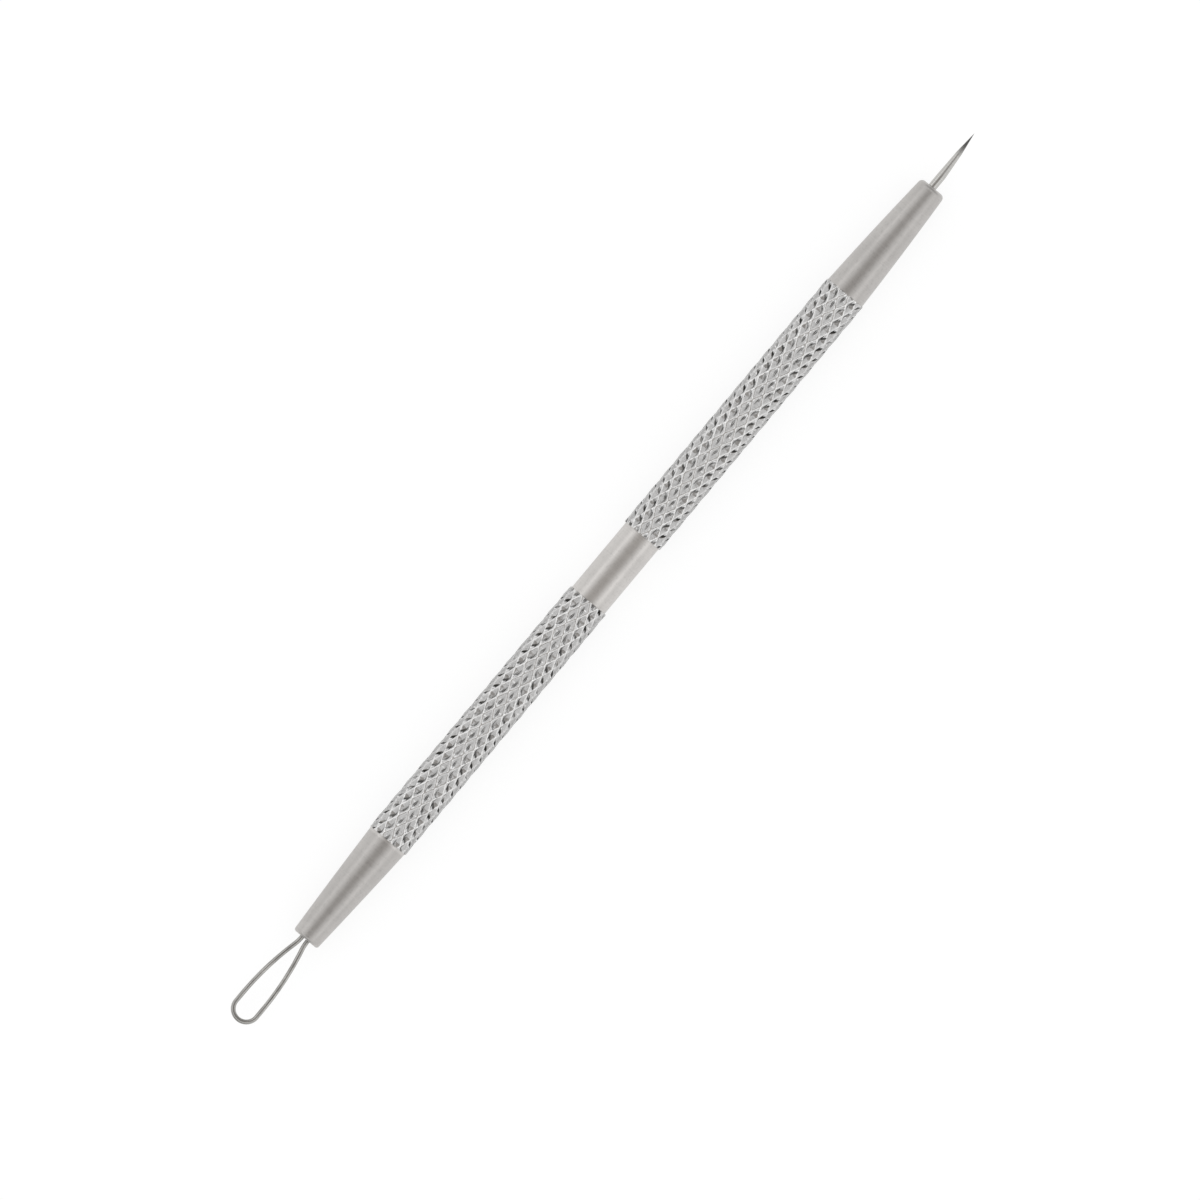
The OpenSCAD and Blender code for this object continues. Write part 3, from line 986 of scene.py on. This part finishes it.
class EXTRACTOR_OT_lancet(bpy.types.Operator):
    """Grind the lancet"""

    bl_idname = "extractor.lancet"
    bl_label = "Lancet"

    def execute(self, context):
        scene = context.scene
        lancet = scene.extractor_lancet
        tip_x = BAR_HIGH.x + lancet.out_len
        back_x = BAR_HIGH.x - lancet.tail_len
        shank_r = lancet.shank_d / 2
        point_r = lancet.point_d / 2
        slope = (shank_r - point_r) / (lancet.taper_len - lancet.point_len)

        def ground_radius(behind):
            if behind < lancet.point_len:
                return point_r * behind / lancet.point_len
            return point_r + slope * (behind - lancet.point_len)

        # Distances behind the tip: the point, the taper with a little of the plain shank, and the end
        slow_len = lancet.taper_len * 1.25 - lancet.point_len
        behinds = [behind * MM for behind in TIP_ROWS_MM]
        behinds += [lancet.point_len + slow_len * i / LANCET_ROWS for i in range(LANCET_ROWS + 1)]
        behinds += [tip_x - back_x]
        rings = [[(tip_x, lancet.offset + lancet.tip_offset, AXIS_Z)]]
        tips = [1.0]
        for behind in behinds:
            cone_r = ground_radius(behind)
            lean = lancet.tip_offset * max(0.0, 1 - behind / lancet.taper_len)
            ring = []
            for k in range(LANCET_SIDES):
                a = 2 * pi * k / LANCET_SIDES
                across = lean * sin(a)
                to_shank = -across + sqrt(across * across + shank_r * shank_r - lean * lean)
                r = min(cone_r, to_shank)
                ring.append((tip_x - behind, lancet.offset + lean + r * sin(a), AXIS_Z + r * cos(a)))
            rings.append(ring)
            tips.extend([max(0.0, 1 - behind / lancet.taper_len)] * LANCET_SIDES)
        rings.append([(back_x, lancet.offset, AXIS_Z)])
        tips.append(0.0)
        points, faces = skin(rings)
        faces = [tuple(reversed(face)) for face in faces]
        piece = new_piece("pointed_lancet", points, faces)
        store(piece.data, "tip", tips)
        smooth(piece.data)
        piece.data.materials.append(lancet_finish(scene.extractor_finishes))
        finish_piece(piece, "lancet_steel", "lancet")
        return {"FINISHED"}


class EXTRACTOR_OT_solder(bpy.types.Operator):
    """Give the solder in both bores its finish"""

    bl_idname = "extractor.solder"
    bl_label = "Solder"

    def execute(self, context):
        finish = solder_finish(context.scene.extractor_finishes)
        for node in ("loop_solder", "lancet_solder"):
            materials = frame["nodes"][node].data.materials
            materials.clear()
            materials.append(finish)
        return {"FINISHED"}


def floor_finish(studio):
    """A white floor that keeps the tool's shadow, and looks as white in metal as to the camera."""
    material, bench = empty_material("white_floor")
    paint = 1.0 - studio.floor_glow
    matt = bench.node("ShaderNodeBsdfDiffuse", None, {"Color": rgba((paint, paint, paint))})
    ray = bench.node("ShaderNodeLightPath").outputs
    seen = bench.math("MAXIMUM", Value(bench, ray["Is Camera Ray"]), Value(bench, ray["Is Glossy Ray"]))
    seen = bench.math("MAXIMUM", seen, Value(bench, ray["Is Transmission Ray"]))
    glow = bench.node("ShaderNodeEmission", None, {"Strength": seen * (studio.floor_glow + FLOOR_LIFT)})
    both = bench.node("ShaderNodeAddShader", None, {0: matt.outputs[0], 1: glow.outputs[0]})
    bench.node("ShaderNodeOutputMaterial", None, {"Surface": both.outputs[0]})
    return material


def hood_finish(studio):
    """The dim hood, dimmer over the tool's ends, whose edge fades out."""
    material, bench = empty_material("camera_hood")
    x, y, _ = bench.split(bench.node("ShaderNodeTexCoord").outputs["Object"])
    radius = bench.math("SQRT", x * x + y * y)
    low, high = (studio.hood_height * slope for slope in HOOD_SLOPES)
    middle = bench.node("ShaderNodeEmission", None, {"Color": rgba(studio.hood), "Strength": 1.0})
    ends = bench.node("ShaderNodeEmission", None, {"Color": rgba(studio.hood_ends), "Strength": 1.0})
    dim = bench.mix_shaders(bench.ease(abs(x), low, high), middle, ends)
    clear = bench.node("ShaderNodeBsdfTransparent")
    both = bench.mix_shaders(bench.ease(radius, studio.hood_core, studio.hood_radius), dim, clear)
    bench.node("ShaderNodeOutputMaterial", None, {"Surface": both.outputs[0]})
    return material


def build_world(studio):
    """A light tent, darker past the two ends of the tool, that the camera sees as plain white."""
    world = bpy.data.worlds.new("light_tent")
    world.use_nodes = True
    world.node_tree.nodes.clear()
    bench = Bench(world.node_tree)
    x, _, _ = bench.split(bench.node("ShaderNodeTexCoord").outputs["Generated"])
    past_end = bench.ease(abs(x), *TENT_SHARES) * studio.tent_ends
    sides, ends, white = (
        bench.node("ShaderNodeBackground", None, {"Color": rgba(light), "Strength": 1.0})
        for light in (studio.tent, scaled(studio.tent, 0.1), (1.0, 1.0, 1.0))
    )
    walls = bench.mix_shaders(past_end, sides, ends)
    from_camera = bench.node("ShaderNodeLightPath").outputs["Is Camera Ray"]
    both = bench.mix_shaders(from_camera, walls, white)
    bench.node("ShaderNodeOutputWorld", None, {"Surface": both.outputs[0]})
    return world


class EXTRACTOR_OT_studio(bpy.types.Operator):
    """Lay the floor, hang the lamps and place the camera"""

    bl_idname = "extractor.studio"
    bl_label = "Studio"

    def execute(self, context):
        scene = context.scene
        studio = scene.extractor_studio
        half = studio.floor_size / 2
        floor_plane = new_piece(
            "floor",
            [(-half, -half, 0.0), (half, -half, 0.0), (half, half, 0.0), (-half, half, 0.0)],
            [(0, 1, 2, 3)],
        )
        floor_plane.data.materials.append(floor_finish(studio))

        rim = studio.hood_radius
        hood = new_piece(
            "camera_hood",
            [(-rim, -rim, 0.0), (-rim, rim, 0.0), (rim, rim, 0.0), (rim, -rim, 0.0)],
            [(0, 1, 2, 3)],
        )
        hood.location.z = studio.hood_height
        hood.data.materials.append(hood_finish(studio))
        for kind in ("camera", "diffuse", "transmission", "volume_scatter", "shadow"):
            setattr(hood, "visible_" + kind, False)

        area = studio.lamp_length * studio.lamp_width
        for name, side in (("left_soft_box", 1), ("right_soft_box", -1)):
            light = bpy.data.lights.new(name, "AREA")
            light.shape = "RECTANGLE"
            light.size = studio.lamp_length
            light.size_y = studio.lamp_width
            light.energy = studio.lamp_light * pi * area
            lamp = bpy.data.objects.new(name, light)
            lamp.location = (
                0.0,
                side * studio.lamp_distance * sin(studio.lamp_angle),
                studio.lamp_distance * cos(studio.lamp_angle),
            )
            lamp.rotation_euler = (-side * studio.lamp_angle, 0.0, 0.0)
            lamp.visible_camera = False
            scene.collection.objects.link(lamp)

        scene.world = build_world(studio)
        view = bpy.data.cameras.new("product_view")
        view.type = "ORTHO"
        view.ortho_scale = studio.view_width
        view.clip_start = studio.view_height / 50
        view.clip_end = studio.view_height * 20
        camera = bpy.data.objects.new("product_view", view)
        camera.location = (studio.view_x, studio.view_y, studio.view_height)
        camera.rotation_euler = (0.0, 0.0, studio.view_turn)
        scene.collection.objects.link(camera)
        scene.camera = camera
        scene.view_settings.view_transform = "Standard"
        return {"FINISHED"}


class EXTRACTOR_PT_panel(bpy.types.Panel):
    """Lists what can be built"""

    bl_idname = "EXTRACTOR_PT_panel"
    bl_label = "Extractor"
    bl_space_type = "VIEW_3D"
    bl_region_type = "UI"
    bl_category = "Extractor"

    def draw(self, context):
        column = self.layout.column(align=True)
        for build in BUILDS:
            column.operator(build.bl_idname)


BUILDS = (
    EXTRACTOR_OT_bar,
    EXTRACTOR_OT_wire_loop,
    EXTRACTOR_OT_lancet,
    EXTRACTOR_OT_solder,
    EXTRACTOR_OT_studio,
)
SETTINGS = {
    "extractor_bar": BarSizes,
    "extractor_knurl": KnurlSizes,
    "extractor_loop": LoopSizes,
    "extractor_lancet": LancetSizes,
    "extractor_solder": SolderSizes,
    "extractor_finishes": Finishes,
    "extractor_studio": Studio,
}


def register():
    for name, group in SETTINGS.items():
        bpy.utils.register_class(group)
        setattr(bpy.types.Scene, name, bpy.props.PointerProperty(type=group))
    for cls in BUILDS + (EXTRACTOR_PT_panel,):
        bpy.utils.register_class(cls)


def unregister():
    for cls in reversed(BUILDS + (EXTRACTOR_PT_panel,)):
        bpy.utils.unregister_class(cls)
    for name, group in SETTINGS.items():
        delattr(bpy.types.Scene, name)
        bpy.utils.unregister_class(group)


def main():
    register()
    bpy.ops.extractor.bar()
    bpy.ops.extractor.wire_loop()
    bpy.ops.extractor.lancet()
    bpy.ops.extractor.solder()
    bpy.ops.extractor.studio()


if __name__ == "__main__":
    main()
